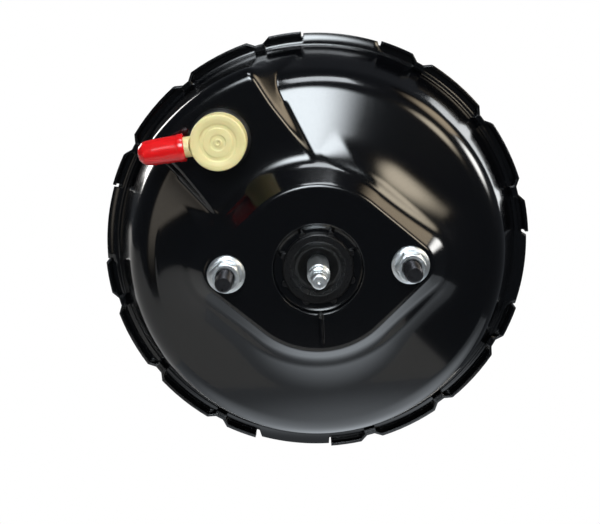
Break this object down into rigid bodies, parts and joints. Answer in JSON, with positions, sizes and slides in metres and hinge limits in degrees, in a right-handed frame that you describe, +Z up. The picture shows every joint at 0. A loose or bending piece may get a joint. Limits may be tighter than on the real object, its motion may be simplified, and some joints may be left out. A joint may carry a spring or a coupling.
{
  "type": "brake booster",
  "caption": "Vacuum brake booster with twist-lock shells, raised two-stud mounting face, check valve on a flat boss with capped nipple, and a booted pedal rod.",
  "frame": {"origin": "centre of the four firewall studs on the rear face of the rear shell", "axes": "+Y along the booster's axis towards the pedal, +X along the line of the two master cylinder studs, +Z up"},
  "size_m": [0.2152, 0.2835, 0.2152],
  "materials": {
    "black_paint": "gloss black paint",
    "zinc_plate": "zinc plated",
    "black_steel": "black phosphated",
    "black_plastic": "satin",
    "ivory_plastic": "satin moulding",
    "hub_plastic": "satin",
    "bush_plastic": "satin",
    "black_rubber": "matte",
    "spring_steel": "oiled wire",
    "red_vinyl": "soft gloss",
    "filter_foam": "open foam"
  },
  "bodies": {
    "housing": {"front_shell": "black_paint", "rear_shell": "black_paint", "front_reinforcement": "zinc_plate", "rear_reinforcement": "zinc_plate", "master_cylinder_studs": "black_steel", "master_cylinder_nuts": "zinc_plate", "firewall_studs": "black_steel", "firewall_gasket": "black_rubber", "front_seal": "black_rubber", "seal_retainer": "black_plastic", "diaphragm": "black_rubber", "return_spring": "spring_steel", "rear_bearing": "hub_plastic", "rear_seal": "black_rubber", "rear_seal_ring": "zinc_plate", "dust_boot": "black_rubber", "check_valve_grommet": "black_rubber"},
    "power_piston": {"valve_hub": "hub_plastic", "stop_key": "zinc_plate", "support_plate": "zinc_plate", "reaction_disc": "black_rubber", "output_rod": "zinc_plate", "output_rod_clip": "zinc_plate", "poppet_retainer": "zinc_plate", "poppet_spring": "spring_steel", "poppet_bellows": "black_rubber", "rod_return_spring": "spring_steel", "air_filter": "filter_foam", "air_silencer": "filter_foam", "filter_retainer": "black_plastic"},
    "air_valve": {"plunger": "zinc_plate"},
    "poppet_valve": {"poppet": "black_rubber"},
    "pedal_push_rod": {"pedal_rod": "zinc_plate", "pedal_eye_bush": "bush_plastic"},
    "adjusting_screw": {"output_rod_screw": "zinc_plate"},
    "check_valve": {"check_valve_body": "ivory_plastic", "check_valve_cover": "ivory_plastic", "check_valve_spring": "spring_steel"},
    "check_flap": {"check_valve_flap": "black_rubber"},
    "shipping_cap": {"nipple_cap": "red_vinyl"}
  },
  "joints": [
    {"name": "piston_slide", "type": "slide", "parent": "housing", "child": "power_piston", "axis": [0, -1, 0], "range_m": [0, 0.032], "stiffness_N_per_m": 3000, "springref_m": -0.03, "deforming": ["return_spring", "diaphragm", "dust_boot"]},
    {"name": "air_valve_slide", "type": "slide", "parent": "power_piston", "child": "air_valve", "axis": [0, -1, 0], "range_m": [0, 0.002], "stiffness_N_per_m": 3000, "springref_m": -0.01, "deforming": ["rod_return_spring"]},
    {"name": "poppet_slide", "type": "slide", "parent": "power_piston", "child": "poppet_valve", "axis": [0, -1, 0], "range_m": [0, 0.0008], "deforming": ["poppet_spring", "poppet_bellows"]},
    {"name": "pedal_rod_swing", "type": "hinge", "parent": "air_valve", "child": "pedal_push_rod", "pos_m": [0, -0.0006, 0], "axis": [1, 0, 0], "range_deg": [-2.5, 2.5]},
    {"name": "adjusting_screw_turn", "type": "hinge", "parent": "power_piston", "child": "adjusting_screw", "pos_m": [0, -0.12, 0], "axis": [0, 1, 0], "continuous": true},
    {"name": "check_valve_turn", "type": "hinge", "parent": "housing", "child": "check_valve", "pos_m": [-0.04231, -0.095, 0.06156], "axis": [0, 1, 0], "range_deg": [0, 70]},
    {"name": "check_flap_lift", "type": "slide", "parent": "check_valve", "child": "check_flap", "axis": [0, -1, 0], "range_m": [0, 0.0012], "stiffness_N_per_m": 60, "springref_m": -0.004, "deforming": ["check_valve_spring"]},
    {"name": "cap_pull", "type": "slide", "parent": "check_valve", "child": "shipping_cap", "axis": [-0.9945, 0, -0.1045], "range_m": [0, 0.026]}
  ],
  "couplings": [
    {"joint": "poppet_slide", "follows": "air_valve_slide", "ratio": 0.4}
  ]
}
